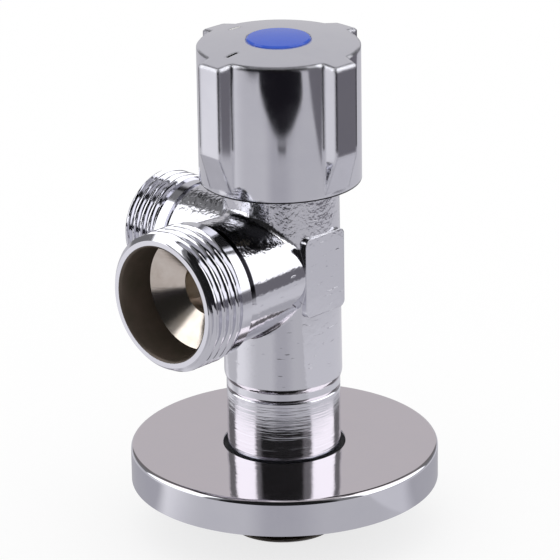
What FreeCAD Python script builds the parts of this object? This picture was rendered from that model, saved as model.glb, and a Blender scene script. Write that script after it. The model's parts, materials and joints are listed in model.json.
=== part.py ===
import FreeCAD, Part
import math
import os

# Double angle ball valve, in millimetres.
# The origin is the centre of the inlet's end face. +Z runs up the valve's axis to the handle,
# the large outlet points along -Y and the small outlet along -X.

# Inlet
INLET_THREAD_R = 20.955 / 2       # G 1/2 crest radius
INLET_THREAD_LEN = 9.3
INLET_BORE_R = 7.25
THREAD_CHAMFER = 1.1
RELIEF_DEPTH = 0.75               # runout groove behind the inlet thread
RELIEF_LEN = 1.2

# Ball
OUTLET_Z = 54.0                   # height of both outlets and of the ball's centre
BALL_R = 8.5
BALL_GAP = 0.05                   # ball to seat and liner
PORT_R = 4.0
PORT_BOTTOM_R = 4.8
SLOT_WIDTH = 3.2
SLOT_DEPTH = 2.6

# Stem
STEM_R = 4.0
STEM_FIT = 0.05
STEM_COLLAR_R = STEM_R + 1.6
STEM_COLLAR_LEN = 1.3
THRUST_WASHER_T = 0.6
STEM_RING_SECTION_R = 0.5
STEM_RING_RISE = 2.5              # lower ring above the thrust washer
STEM_RING_SPACING = 3.4
SPLINE_TEETH = 18
SPLINE_DEPTH = 0.45
SPLINE_LEN = 8.1
TANG_FIT = 0.15
TANG_ROOT_LEN = 1.2               # round part of the stem under its collar

# Seats and liner round the ball
INNER_FIT = 0.05                  # radial clearance of what is stacked in the cavity
LINER_WALL = 0.70                 # liner at its thinnest, beside the ball
LINER_WINDOW_ANGLE = 110.0
LINER_WINDOW_HEIGHT = 2 * PORT_R + 1.0
SEAT_BORE_R = max(PORT_BOTTOM_R, STEM_R) + 0.4
SEAT_LAND = 1.28                  # width of the ring that the ball touches
SEAT_HEADROOM = 2.0               # seats past the ball's top and bottom
SEAT_SPLIT = math.sqrt(BALL_R ** 2 - (SEAT_BORE_R + SEAT_LAND) ** 2)   # seats meet the liner here
SEAT_RING_SECTION_R = 0.62
CAVITY_R = BALL_R + BALL_GAP + LINER_WALL
CAVITY_FLOOR_Z = OUTLET_Z - BALL_R - SEAT_HEADROOM
UPPER_SEAT_TOP_Z = OUTLET_Z + BALL_R + SEAT_HEADROOM

# Forged column and turned neck
COLUMN_WALL = 1.7
COLUMN_R = CAVITY_R + COLUMN_WALL
BONNET_PLUG_LEN = 7.5
COLUMN_TOP_Z = UPPER_SEAT_TOP_Z + BONNET_PLUG_LEN
NECK_SKIM = 0.15                  # turned off the forging's column
THREAD_PASS = 0.32                # neck radius over the inlet thread, which the flange passes
NECK_R = max(COLUMN_R - NECK_SKIM, INLET_THREAD_R + THREAD_PASS)
NECK_TOP_Z = 28.7                 # where the turned neck stops at a fine line
NECK_LINE_DEPTH = 0.2
NECK_LINE_LEN = 0.4
BAND_LEN = 2.6                    # turned band between the neck's line and the forged column
BAND_TOP_Z = NECK_TOP_Z + BAND_LEN
BAND_WAIST = 0.55                 # how far the groove under the column is cut in
BAND_GROOVE_LEN = 0.5
COLUMN_FLARE = 0.25               # draft: the forging is this much wider at its foot
COLUMN_FOOT_R = 1.1               # rounding of the column's foot

# Outlets
LARGE_REACH = 31.8                # valve axis to the large outlet's face
SMALL_REACH = 32.4                # valve axis to the small outlet's face
OUTLET_THREAD_LEN = 8.2
LARGE_THREAD_R = 26.441 / 2       # G 3/4 crest radius
LARGE_MOUTH_WALL = 2.52
LARGE_MOUTH_R = LARGE_THREAD_R - LARGE_MOUTH_WALL
LARGE_STUB_R = LARGE_THREAD_R - 1.12     # forged stub just behind the collar
SMALL_THREAD_R = 20.955 / 2       # G 1/2 crest radius
SMALL_MOUTH_WALL = 2.88
SMALL_MOUTH_R = SMALL_THREAD_R - SMALL_MOUTH_WALL
SMALL_STUB_R = SMALL_THREAD_R - 0.48
COLLAR_DROP = 0.35                # collar radius below the thread crest
COLLAR_LEN = 2.4
GROOVE_LEN = 0.8
GROOVE_DEPTH = 0.8
STUB_ROOT_INSET = 0.15            # stub radius at the valve axis, below the column's
MOUTH_DEPTH = 7.7
MOUTH_LIP = 0.5                   # chamfer inside the mouth
DRILL_HALF_ANGLE = 59.0           # half the point angle of the drill that made the mouth
PASSAGE_R = 5.0
SADDLE_FILLET_R = 1.5             # where stubs and column run together

# Cast pad on the side away from the small outlet
PAD_WIDTH = 10.3
PAD_HEIGHT = 15.5
PAD_PROUD = 0.3
PAD_REACH = COLUMN_R + PAD_PROUD
PAD_CORNER_R = 1.2

# Bonnet
HEX_CORNER_PROUD = 0.02           # hexagon's corners past the column's edge
HEX_ACROSS_FLATS = 2 * (COLUMN_R + HEX_CORNER_PROUD) * math.cos(math.radians(30))
HEX_HEIGHT = 3.6
HEX_TOP_Z = COLUMN_TOP_Z + HEX_HEIGHT
BONNET_NECK_R = STEM_R + 3.2
BONNET_NECK_LEN = 3.4
BONNET_NECK_TOP_Z = HEX_TOP_Z + BONNET_NECK_LEN
BONNET_RING_SECTION_R = 0.6
BONNET_RING_Z = UPPER_SEAT_TOP_Z + 4.8
COUNTERBORE_R = STEM_COLLAR_R + 0.2
SPLINE_START_Z = BONNET_NECK_TOP_Z + 0.6
STEM_TOP_Z = SPLINE_START_Z + SPLINE_LEN

# Stop ring and clip on the bonnet's neck
STOP_RING_R = BONNET_NECK_R + 3.0
STOP_RING_T = 1.8
STOP_WALL_HEIGHT = 3.0
STOP_WALL_INNER_R = BONNET_NECK_R + 0.8
STOP_KEY_FLAT = BONNET_NECK_R - 0.6      # flats that key the ring to the neck, from the axis
CLIP_T = 0.8
CLIP_DEPTH = 0.7
CLIP_OUTER_R = BONNET_NECK_R + 0.55
CLIP_OPENING_ANGLE = 60.0

# Insert, screw and index button in the handle
INSERT_WALL = 2.5
INSERT_HEX = 2 * (STEM_R + INSERT_WALL)  # across flats
INSERT_FIT = 0.05
INSERT_LIFT = 0.5                 # insert's flange over the stop ring's wall
INSERT_BOTTOM_Z = HEX_TOP_Z + STOP_RING_T + STOP_WALL_HEIGHT + INSERT_LIFT
INSERT_FLANGE_R = STOP_RING_R - 0.2
INSERT_FLANGE_T = 1.5
STOP_LUG_ANGLE = 25.0
STOP_LUG_GAP = 0.6                # degrees left at each end of the quarter turn
STOP_LUG_LIFT = 0.3
QUARTER_TURN = 90.0
SCREW_R = 1.75
SCREW_LEN = 9.5
SCREW_HEAD_R = 3.4
SCREW_HEAD_H = 2.1
SCREW_SLOT_WIDTH = 0.9
WASHER_R = 3.7
WASHER_T = 0.6
BUTTON_R = 6.0
BUTTON_FIT = 0.08
BUTTON_HEADROOM = 0.3             # button's plug over the screw's head
BUTTON_SEAT_DEPTH = 3.3
BUTTON_RIM_PROUD = 0.3
BUTTON_DOME = 0.3
BUTTON_PLUG_R = BUTTON_R - 0.9
BUTTON_PLUG_LEN = 1.2

# Handle
HANDLE_GAP = 2.6                  # hollow between the handle's skirt and the column
HANDLE_CAVITY_R = COLUMN_R + HANDLE_GAP
HANDLE_CAVITY_TOP_Z = STEM_TOP_Z + 0.3
HANDLE_WALL = 1.65
HANDLE_R = HANDLE_CAVITY_R + HANDLE_WALL
HANDLE_SKIRT_LAP = 1.6            # handle's skirt below the column's top
HANDLE_BOTTOM_Z = COLUMN_TOP_Z - HANDLE_SKIRT_LAP
HANDLE_LOBES = 4
HANDLE_LOBE_REACH = HANDLE_R + 2.55
HANDLE_LOBE_ROOT_W = 6.1
HANDLE_LOBE_TIP_W = 5.2
LOBE_FLAT_BOTTOM_Z = HANDLE_BOTTOM_Z + 8.3     # lobes run in to the skirt below this
LOBE_END_Z = HANDLE_BOTTOM_Z + 0.9
HANDLE_CLOCK = -2.5               # where the serration lets the handle settle, in degrees
HANDLE_BOSS_WALL = 1.64
HANDLE_BOSS_R = (INSERT_HEX / 2 + INSERT_FIT) / math.cos(math.radians(30)) + HANDLE_BOSS_WALL
HANDLE_WEB = 2.0                  # under the screw's washer
SCREW_FLOOR_Z = HANDLE_CAVITY_TOP_Z + HANDLE_WEB
BUTTON_STEP_Z = SCREW_FLOOR_Z + WASHER_T + SCREW_HEAD_H + BUTTON_PLUG_LEN + BUTTON_HEADROOM
CROWN_Z = BUTTON_STEP_Z + BUTTON_SEAT_DEPTH
CROWN_R = 100.0
CROWN_EDGE = 0.3
TICK_LEN = 2.6
TICK_WIDTH = 0.55
TICK_DEPTH = 0.25
TICK_RADIUS = HANDLE_R - 3.5

# Wall flange
FLANGE_R = 29.3
FLANGE_GAP = 0.8                  # flange's hole round the neck
FLANGE_HOLE_EDGE_R = 0.3          # punched edge of the hole, rounded on top
FLANGE_HOLE_R = NECK_R + FLANGE_GAP
FLANGE_TOP_Z = 17.2
FLANGE_DEPTH = 7.0
FLANGE_SHEET = 0.9
FLANGE_EDGE_R = 1.5
GRIP_RING_R = FLANGE_HOLE_R + 2.0
GRIP_RING_H = 3.4
GRIP_FIT = 0.05

AXIS = FreeCAD.Vector(0, 0, 1)
ORIGIN = FreeCAD.Vector(0, 0, 0)


def vec(x, y, z):
    return FreeCAD.Vector(x, y, z)


def disc(radius, z0, z1):
    """A cylinder on the valve's axis."""
    return Part.makeCylinder(radius, z1 - z0, vec(0, 0, z0))


def tube(outer, inner, z0, z1):
    """A ring on the valve's axis."""
    return disc(outer, z0, z1).cut(disc(inner, z0 - 1, z1 + 1))


def revolve(points):
    """Turn an outline of (radius, height) points about the valve's axis."""
    corners = [vec(r, 0, z) for r, z in points]
    face = Part.Face(Part.makePolygon(corners + corners[:1]))
    return face.revolve(ORIGIN, AXIS, 360)


def o_ring(major, section, z):
    """A rubber ring of round section."""
    return Part.makeTorus(major, section, vec(0, 0, z))


def sector(outer, inner, z0, z1, start, sweep):
    """Part of a ring, from the start angle through the sweep, in degrees."""
    ring = Part.makeCylinder(outer, z1 - z0, vec(0, 0, z0), AXIS, sweep)
    ring = ring.cut(disc(inner, z0 - 1, z1 + 1))
    ring.rotate(ORIGIN, AXIS, start)
    return ring


def hexagon(across_flats, z0, z1):
    """A hexagonal prism on the valve's axis."""
    corner = across_flats / 2 / math.cos(math.radians(30))
    points = []
    for i in range(7):
        turn = math.radians(60 * i)
        points.append(vec(corner * math.cos(turn), corner * math.sin(turn), z0))
    return Part.Face(Part.makePolygon(points)).extrude(vec(0, 0, z1 - z0))


def serration(tip, root, z0, z1):
    """A straight-sided toothed bar that the handle's insert slides on to."""
    points = []
    for i in range(2 * SPLINE_TEETH):
        radius = tip if i % 2 == 0 else root
        turn = math.radians(180.0 * i / SPLINE_TEETH)
        points.append(vec(radius * math.cos(turn), radius * math.sin(turn), z0))
    face = Part.Face(Part.makePolygon(points + points[:1]))
    return face.extrude(vec(0, 0, z1 - z0))


def to_outlet(shape, direction):
    """Lay a shape built up the valve's axis along an outlet, at the outlets' height."""
    if direction == "-Y":
        shape.rotate(ORIGIN, vec(1, 0, 0), 90)
    else:
        shape.rotate(ORIGIN, vec(0, 1, 0), -90)
    shape.translate(vec(0, 0, OUTLET_Z))
    return shape


def stub_outside(reach, thread_r, stub_r):
    """Outside of one outlet: thread, machined collar, groove and forged stub."""
    thread_end = reach - OUTLET_THREAD_LEN
    collar_end = thread_end - COLLAR_LEN
    groove_end = collar_end - GROOVE_LEN
    collar_r = thread_r - COLLAR_DROP
    root_r = min(stub_r, COLUMN_R - STUB_ROOT_INSET)
    return revolve([
        (0, 0),
        (root_r, 0),
        (stub_r, groove_end),
        (collar_r - GROOVE_DEPTH, groove_end),
        (collar_r - GROOVE_DEPTH, collar_end),
        (collar_r, collar_end),
        (collar_r, thread_end),
        (thread_r, thread_end),
        (thread_r, reach - THREAD_CHAMFER),
        (thread_r - THREAD_CHAMFER, reach),
        (0, reach),
    ])


def stub_inside(reach, mouth_r):
    """Waterway of one outlet: wide mouth, drill point and passage to the ball."""
    mouth_end = reach - MOUTH_DEPTH
    cone_len = (mouth_r - PASSAGE_R) / math.tan(math.radians(DRILL_HALF_ANGLE))
    return revolve([
        (0, 0),
        (PASSAGE_R, 0),
        (PASSAGE_R, mouth_end - cone_len),
        (mouth_r, mouth_end),
        (mouth_r, reach - MOUTH_LIP),
        (mouth_r + MOUTH_LIP, reach),
        (mouth_r + MOUTH_LIP, reach + 1),
        (0, reach + 1),
    ])


def column_outside():
    """Inlet thread, turned neck, narrow band and forged column with its rounded foot."""
    relief_r = INLET_THREAD_R - RELIEF_DEPTH
    relief_top = INLET_THREAD_LEN + RELIEF_LEN
    waist_r = min(NECK_R, COLUMN_R) - BAND_WAIST
    foot_r = COLUMN_R + COLUMN_FLARE
    foot_centre_r = foot_r - COLUMN_FOOT_R
    foot_start = math.acos((waist_r - foot_centre_r) / COLUMN_FOOT_R)
    foot_low = vec(waist_r, 0, BAND_TOP_Z - COLUMN_FOOT_R * math.sin(foot_start))
    foot_middle = vec(
        foot_centre_r + COLUMN_FOOT_R * math.cos(foot_start / 2), 0,
        BAND_TOP_Z - COLUMN_FOOT_R * math.sin(foot_start / 2))
    foot_high = vec(foot_r, 0, BAND_TOP_Z)
    turned = [
        vec(0, 0, 0),
        vec(INLET_THREAD_R - THREAD_CHAMFER, 0, 0),
        vec(INLET_THREAD_R, 0, THREAD_CHAMFER),
        vec(INLET_THREAD_R, 0, INLET_THREAD_LEN),
        vec(relief_r, 0, INLET_THREAD_LEN),
        vec(relief_r, 0, relief_top),
        vec(NECK_R, 0, relief_top),
        vec(NECK_R, 0, NECK_TOP_Z),
        vec(NECK_R - NECK_LINE_DEPTH, 0, NECK_TOP_Z + NECK_LINE_LEN / 2),
        vec(NECK_R, 0, NECK_TOP_Z + NECK_LINE_LEN),
        vec(NECK_R, 0, foot_low.z - BAND_GROOVE_LEN),
        vec(waist_r, 0, foot_low.z - BAND_GROOVE_LEN / 2),
        foot_low,
    ]
    edges = [Part.makeLine(here, there) for here, there in zip(turned, turned[1:])]
    edges += [
        Part.Arc(foot_low, foot_middle, foot_high).toShape(),
        Part.makeLine(foot_high, vec(COLUMN_R, 0, COLUMN_TOP_Z)),
        Part.makeLine(vec(COLUMN_R, 0, COLUMN_TOP_Z), vec(0, 0, COLUMN_TOP_Z)),
        Part.makeLine(vec(0, 0, COLUMN_TOP_Z), vec(0, 0, 0)),
    ]
    return Part.Face(Part.Wire(edges)).revolve(ORIGIN, AXIS, 360)


def cast_pad():
    """Flat raised pad on the column, with rounded corners."""
    pad = Part.makeBox(
        PAD_REACH, PAD_WIDTH, PAD_HEIGHT,
        vec(0, -PAD_WIDTH / 2, OUTLET_Z - PAD_HEIGHT / 2))
    corners = []
    for edge in pad.Edges:
        if edge.BoundBox.XLength > PAD_REACH / 2:
            corners.append(edge)
    return pad.makeFillet(PAD_CORNER_R, corners)


def saddle_edges(forging):
    """Curved edges where the stubs run in to the column and to each other."""
    found = []
    for edge in forging.Edges:
        box = edge.BoundBox
        beside_stubs = box.ZMin > BAND_TOP_Z and box.ZMax < COLUMN_TOP_Z
        if beside_stubs and not isinstance(edge.Curve, (Part.Circle, Part.Line)):
            found.append(edge)
    return found


def valve_body():
    """One-piece forging: column, both outlets and the pad, bored out."""
    large = to_outlet(stub_outside(LARGE_REACH, LARGE_THREAD_R, LARGE_STUB_R), "-Y")
    small = to_outlet(stub_outside(SMALL_REACH, SMALL_THREAD_R, SMALL_STUB_R), "-X")
    forging = column_outside().fuse([large, small]).removeSplitter()
    forging = forging.makeFillet(SADDLE_FILLET_R, saddle_edges(forging))
    body = forging.fuse(cast_pad()).removeSplitter()
    cavity = disc(CAVITY_R, CAVITY_FLOOR_Z, COLUMN_TOP_Z + 1)
    inlet = disc(INLET_BORE_R, -1, CAVITY_FLOOR_Z + 1)
    large_way = to_outlet(stub_inside(LARGE_REACH, LARGE_MOUTH_R), "-Y")
    small_way = to_outlet(stub_inside(SMALL_REACH, SMALL_MOUTH_R), "-X")
    return body.cut([cavity, inlet, large_way, small_way])


def ball():
    """Ball with an L-shaped waterway: up from the inlet and out between the outlets."""
    shape = Part.makeSphere(BALL_R, vec(0, 0, OUTLET_Z))
    foot = disc(PORT_BOTTOM_R, OUTLET_Z - BALL_R - 1, OUTLET_Z)
    branch = Part.makeCylinder(PORT_R, BALL_R + 1, vec(0, 0, OUTLET_Z), vec(-1, -1, 0))
    elbow = Part.makeSphere(PORT_R, vec(0, 0, OUTLET_Z))
    slot = Part.makeBox(
        2 * BALL_R, SLOT_WIDTH, SLOT_DEPTH + 1,
        vec(-BALL_R, -SLOT_WIDTH / 2, OUTLET_Z + BALL_R - SLOT_DEPTH))
    return shape.cut([foot, branch, elbow, slot])


def ball_space():
    """The sphere that seats and liner leave for the ball."""
    return Part.makeSphere(BALL_R + BALL_GAP, vec(0, 0, OUTLET_Z))


def lower_seat():
    """Seal ring under the ball, rebated for its backing ring."""
    outer = CAVITY_R - INNER_FIT
    rebate_r = CAVITY_R - 2 * SEAT_RING_SECTION_R - 2 * INNER_FIT
    rebate_top = CAVITY_FLOOR_Z + 2 * SEAT_RING_SECTION_R + 2 * INNER_FIT
    ring = tube(outer, SEAT_BORE_R, CAVITY_FLOOR_Z, OUTLET_Z - SEAT_SPLIT)
    rebate = tube(outer + 1, rebate_r, CAVITY_FLOOR_Z - 1, rebate_top)
    return ring.cut([rebate, ball_space()])


def seat_o_ring():
    """Rubber ring that presses the lower seat against the ball."""
    major = CAVITY_R - SEAT_RING_SECTION_R - INNER_FIT
    return o_ring(major, SEAT_RING_SECTION_R, CAVITY_FLOOR_Z + SEAT_RING_SECTION_R + INNER_FIT)


def cavity_liner():
    """Sleeve round the ball, open towards both outlets."""
    outer = CAVITY_R - INNER_FIT
    sleeve = disc(outer, OUTLET_Z - SEAT_SPLIT, OUTLET_Z + SEAT_SPLIT)
    half = LINER_WINDOW_HEIGHT / 2
    start = 225 - LINER_WINDOW_ANGLE / 2
    window = sector(outer + 1, BALL_R - 2, OUTLET_Z - half, OUTLET_Z + half, start, LINER_WINDOW_ANGLE)
    return sleeve.cut([ball_space(), window])


def upper_seat():
    """Ring over the ball that the bonnet presses down, with room for the stem's tang."""
    outer = CAVITY_R - INNER_FIT
    ring = tube(outer, SEAT_BORE_R, OUTLET_Z + SEAT_SPLIT, UPPER_SEAT_TOP_Z)
    return ring.cut(ball_space())


def bonnet():
    """Screwed bonnet: plug in the cavity, hexagon on the column's rim and neck above."""
    plug_r = CAVITY_R - INNER_FIT
    shape = disc(plug_r, UPPER_SEAT_TOP_Z, COLUMN_TOP_Z)
    shape = shape.fuse(hexagon(HEX_ACROSS_FLATS, COLUMN_TOP_Z, HEX_TOP_Z))
    shape = shape.fuse(disc(BONNET_NECK_R, HEX_TOP_Z, BONNET_NECK_TOP_Z)).removeSplitter()
    groove_half = BONNET_RING_SECTION_R + INNER_FIT
    ring_groove = tube(
        plug_r + 1, plug_r - 2 * BONNET_RING_SECTION_R,
        BONNET_RING_Z - groove_half, BONNET_RING_Z + groove_half)
    clip_z = HEX_TOP_Z + STOP_RING_T
    clip_groove = tube(BONNET_NECK_R + 1, BONNET_NECK_R - CLIP_DEPTH, clip_z, clip_z + CLIP_T)
    counterbore = disc(COUNTERBORE_R, UPPER_SEAT_TOP_Z - 1, thrust_top_z())
    bore = disc(STEM_R + STEM_FIT, UPPER_SEAT_TOP_Z, BONNET_NECK_TOP_Z + 1)
    flats = neck_flats(HEX_TOP_Z, clip_z, 0)
    return shape.cut([ring_groove, clip_groove, counterbore, bore] + flats)


def neck_flats(z0, z1, clearance):
    """Blocks outside the two flats that key the stop ring to the bonnet's neck."""
    reach = STOP_KEY_FLAT + clearance
    width = 2 * STOP_RING_R + 2
    first = Part.makeBox(STOP_RING_R, width, z1 - z0, vec(reach, -width / 2, z0))
    second = first.copy()
    second.rotate(ORIGIN, AXIS, 180)
    return [first, second]


def bonnet_o_ring():
    """Rubber ring in the bonnet's groove."""
    major = CAVITY_R - INNER_FIT - BONNET_RING_SECTION_R
    return o_ring(major, BONNET_RING_SECTION_R - INNER_FIT / 2, BONNET_RING_Z)


def stem_collar_z():
    """Underside of the collar that keeps the stem from being blown out."""
    return UPPER_SEAT_TOP_Z + INNER_FIT


def thrust_top_z():
    """Roof of the bonnet's counterbore, which the thrust washer runs against."""
    return stem_collar_z() + STEM_COLLAR_LEN + THRUST_WASHER_T + STEM_FIT


def stem():
    """Stem: tang in the ball's slot, collar, two ring grooves and a serrated head."""
    collar_z = stem_collar_z()
    tang_z = OUTLET_Z + BALL_R - SLOT_DEPTH + TANG_FIT
    rod = disc(STEM_R, collar_z - TANG_ROOT_LEN, SPLINE_START_Z)
    collar = disc(STEM_COLLAR_R, collar_z, collar_z + STEM_COLLAR_LEN)
    head = serration(STEM_R - STEM_FIT, STEM_R - SPLINE_DEPTH, SPLINE_START_Z, STEM_TOP_Z)
    thickness = SLOT_WIDTH - 2 * TANG_FIT
    tang = Part.makeBox(
        2 * STEM_R, thickness, collar_z - tang_z,
        vec(-STEM_R, -thickness / 2, tang_z))
    tang = tang.common(disc(STEM_R, tang_z - 1, collar_z + 1))
    shape = rod.fuse([collar, head, tang]).removeSplitter()
    cuts = [disc(SCREW_R, STEM_TOP_Z - SCREW_LEN, STEM_TOP_Z + 1)]
    for z in stem_ring_heights():
        half = STEM_RING_SECTION_R + INNER_FIT
        cuts.append(tube(STEM_R + 1, STEM_R - 2 * STEM_RING_SECTION_R, z - half, z + half))
    return shape.cut(cuts)


def stem_ring_heights():
    """Heights of the stem's two rubber rings."""
    lower = thrust_top_z() + STEM_RING_RISE
    return (lower, lower + STEM_RING_SPACING)


def stem_o_ring(z):
    """Rubber ring in one of the stem's grooves."""
    section = STEM_RING_SECTION_R - INNER_FIT / 2
    return o_ring(STEM_R - STEM_RING_SECTION_R, section, z)


def thrust_washer():
    """Slippery washer between the stem's collar and the bonnet."""
    z = stem_collar_z() + STEM_COLLAR_LEN
    return tube(STEM_COLLAR_R, STEM_R + INNER_FIT, z, z + THRUST_WASHER_T)


def stop_ring():
    """Ring keyed to the bonnet, with a wall that leaves a quarter turn open."""
    base_z = HEX_TOP_Z
    top_z = base_z + STOP_RING_T
    hole = disc(BONNET_NECK_R + INNER_FIT, base_z - 1, top_z + 1)
    hole = hole.cut(neck_flats(base_z - 2, top_z + 2, INNER_FIT))
    ring = disc(STOP_RING_R, base_z, top_z).cut(hole)
    open_angle = QUARTER_TURN + STOP_LUG_ANGLE + 2 * STOP_LUG_GAP
    start = stop_lug_start() + STOP_LUG_ANGLE + STOP_LUG_GAP
    wall = sector(
        STOP_RING_R, STOP_WALL_INNER_R, top_z, top_z + STOP_WALL_HEIGHT,
        start, 360 - open_angle)
    return ring.fuse(wall).removeSplitter()


def stop_lug_start():
    """Angle where the insert's stop lug begins at rest."""
    return 45.0 - STOP_LUG_ANGLE / 2


def retaining_clip():
    """Open spring clip that holds the stop ring down."""
    z = HEX_TOP_Z + STOP_RING_T
    inner = BONNET_NECK_R - CLIP_DEPTH + INNER_FIT
    start = 225 + CLIP_OPENING_ANGLE / 2
    return sector(CLIP_OUTER_R, inner, z + INNER_FIT, z + CLIP_T - INNER_FIT,
                  start, 360 - CLIP_OPENING_ANGLE)


def crown_z(radius):
    """Height of the handle's crowned top at a radius."""
    return CROWN_Z - CROWN_R + math.sqrt(CROWN_R ** 2 - radius ** 2)


def handle_lobe():
    """One finger lobe along +X: tapered in plan, and running in to the skirt at its foot."""
    top = CROWN_Z + 1
    side = [
        vec(0, 0, LOBE_END_Z),
        vec(HANDLE_R - 0.1, 0, LOBE_END_Z),
        vec(HANDLE_LOBE_REACH, 0, LOBE_FLAT_BOTTOM_Z),
        vec(HANDLE_LOBE_REACH, 0, top),
        vec(0, 0, top),
    ]
    side_face = Part.Face(Part.makePolygon(side + side[:1]))
    blade = side_face.extrude(vec(0, HANDLE_LOBE_ROOT_W * 2, 0))
    blade.translate(vec(0, -HANDLE_LOBE_ROOT_W, 0))
    taper = (HANDLE_LOBE_ROOT_W - HANDLE_LOBE_TIP_W) / (HANDLE_LOBE_REACH - HANDLE_R)
    tip_half = HANDLE_LOBE_TIP_W / 2
    axis_half = tip_half + taper * HANDLE_LOBE_REACH / 2
    plan = [
        vec(0, -axis_half, LOBE_END_Z - 1),
        vec(HANDLE_LOBE_REACH, -tip_half, LOBE_END_Z - 1),
        vec(HANDLE_LOBE_REACH, tip_half, LOBE_END_Z - 1),
        vec(0, axis_half, LOBE_END_Z - 1),
    ]
    plan_face = Part.Face(Part.makePolygon(plan + plan[:1]))
    prism = plan_face.extrude(vec(0, 0, top - LOBE_END_Z + 2))
    return blade.common(prism)


def crown_cap():
    """The space under the handle's crowned top."""
    reach = HANDLE_LOBE_REACH + 2
    outer = vec(reach, 0, crown_z(reach))
    middle = vec(reach / 2, 0, crown_z(reach / 2))
    edges = [
        Part.Arc(vec(0, 0, CROWN_Z), middle, outer).toShape(),
        Part.makeLine(outer, vec(reach, 0, HANDLE_BOTTOM_Z - 1)),
        Part.makeLine(vec(reach, 0, HANDLE_BOTTOM_Z - 1), vec(0, 0, HANDLE_BOTTOM_Z - 1)),
        Part.makeLine(vec(0, 0, HANDLE_BOTTOM_Z - 1), vec(0, 0, CROWN_Z)),
    ]
    return Part.Face(Part.Wire(edges)).revolve(ORIGIN, AXIS, 360)


def crown_rim_edges(shape):
    """Edges round the crowned top."""
    found = []
    for edge in shape.Edges:
        points = [edge.valueAt(edge.FirstParameter), edge.valueAt(edge.LastParameter)]
        heights = [abs(p.z - crown_z(math.hypot(p.x, p.y))) < 1e-3 for p in points]
        if all(heights):
            found.append(edge)
    return found


def handle_outside():
    """Skirt and lobes under one crowned top."""
    shape = disc(HANDLE_R, HANDLE_BOTTOM_Z, CROWN_Z + 1)
    for i in range(HANDLE_LOBES):
        lobe = handle_lobe()
        lobe.rotate(ORIGIN, AXIS, 360.0 * i / HANDLE_LOBES)
        shape = shape.fuse(lobe)
    shape = shape.removeSplitter().common(crown_cap())
    return shape.makeChamfer(CROWN_EDGE, crown_rim_edges(shape))


def tick(turn, lengthwise):
    """Cutter for one short engraved mark on the crown."""
    length = TICK_LEN if lengthwise else TICK_WIDTH
    width = TICK_WIDTH if lengthwise else TICK_LEN
    mark = Part.makeBox(
        length, width, 2,
        vec(TICK_RADIUS - length / 2, -width / 2, crown_z(TICK_RADIUS) - TICK_DEPTH))
    mark.rotate(ORIGIN, AXIS, turn)
    return mark


def handle():
    """Handle shell with its boss for the insert and its well for screw and button."""
    shape = handle_outside()
    cavity = disc(HANDLE_CAVITY_R, HANDLE_BOTTOM_Z - 1, HANDLE_CAVITY_TOP_Z)
    boss_z = INSERT_BOTTOM_Z + INSERT_FLANGE_T
    cavity = cavity.cut(disc(HANDLE_BOSS_R, boss_z, HANDLE_CAVITY_TOP_Z + 1))
    pocket = hexagon(INSERT_HEX + 2 * INSERT_FIT, boss_z - 1, HANDLE_CAVITY_TOP_Z)
    cuts = [
        cavity,
        pocket,
        disc(SCREW_R + STEM_FIT, HANDLE_CAVITY_TOP_Z - 1, SCREW_FLOOR_Z + 1),
        disc(BUTTON_PLUG_R + BUTTON_FIT, SCREW_FLOOR_Z, BUTTON_STEP_Z + 1),
        disc(BUTTON_R + BUTTON_FIT, BUTTON_STEP_Z, CROWN_Z + 1),
        tick(-90, True),
        tick(180, False),
    ]
    shape = shape.cut(cuts)
    shape.rotate(ORIGIN, AXIS, HANDLE_CLOCK)
    return shape


def handle_insert():
    """Moulded core: hexagon in the handle's boss, toothed bore, flange and stop lug."""
    boss_z = INSERT_BOTTOM_Z + INSERT_FLANGE_T
    core = hexagon(INSERT_HEX, boss_z, HANDLE_CAVITY_TOP_Z)
    core.rotate(ORIGIN, AXIS, HANDLE_CLOCK)
    flange = disc(INSERT_FLANGE_R, INSERT_BOTTOM_Z, boss_z)
    lug_foot = HEX_TOP_Z + STOP_RING_T + STOP_LUG_LIFT
    lug = sector(
        INSERT_FLANGE_R, STOP_WALL_INNER_R + INNER_FIT, lug_foot, INSERT_BOTTOM_Z,
        stop_lug_start(), STOP_LUG_ANGLE)
    shape = core.fuse([flange, lug]).removeSplitter()
    bore = serration(
        STEM_R, STEM_R + STEM_FIT - SPLINE_DEPTH,
        INSERT_BOTTOM_Z - 1, HANDLE_CAVITY_TOP_Z + 1)
    return shape.cut(bore)


def screw_washer():
    """Washer under the handle screw."""
    return tube(WASHER_R, SCREW_R + STEM_FIT, SCREW_FLOOR_Z, SCREW_FLOOR_Z + WASHER_T)


def handle_screw():
    """Slotted pan-head screw that holds the handle on the stem."""
    head_z = SCREW_FLOOR_Z + WASHER_T
    shank = disc(SCREW_R - STEM_FIT, STEM_TOP_Z - SCREW_LEN + 1, head_z)
    head = disc(SCREW_HEAD_R, head_z, head_z + SCREW_HEAD_H)
    head = head.makeFillet(SCREW_HEAD_H / 3, [head.Edges[0]])
    slot = Part.makeBox(
        2 * SCREW_HEAD_R, SCREW_SLOT_WIDTH, SCREW_HEAD_H,
        vec(-SCREW_HEAD_R, -SCREW_SLOT_WIDTH / 2, head_z + SCREW_HEAD_H / 2))
    return shank.fuse(head).removeSplitter().cut(slot)


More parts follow.
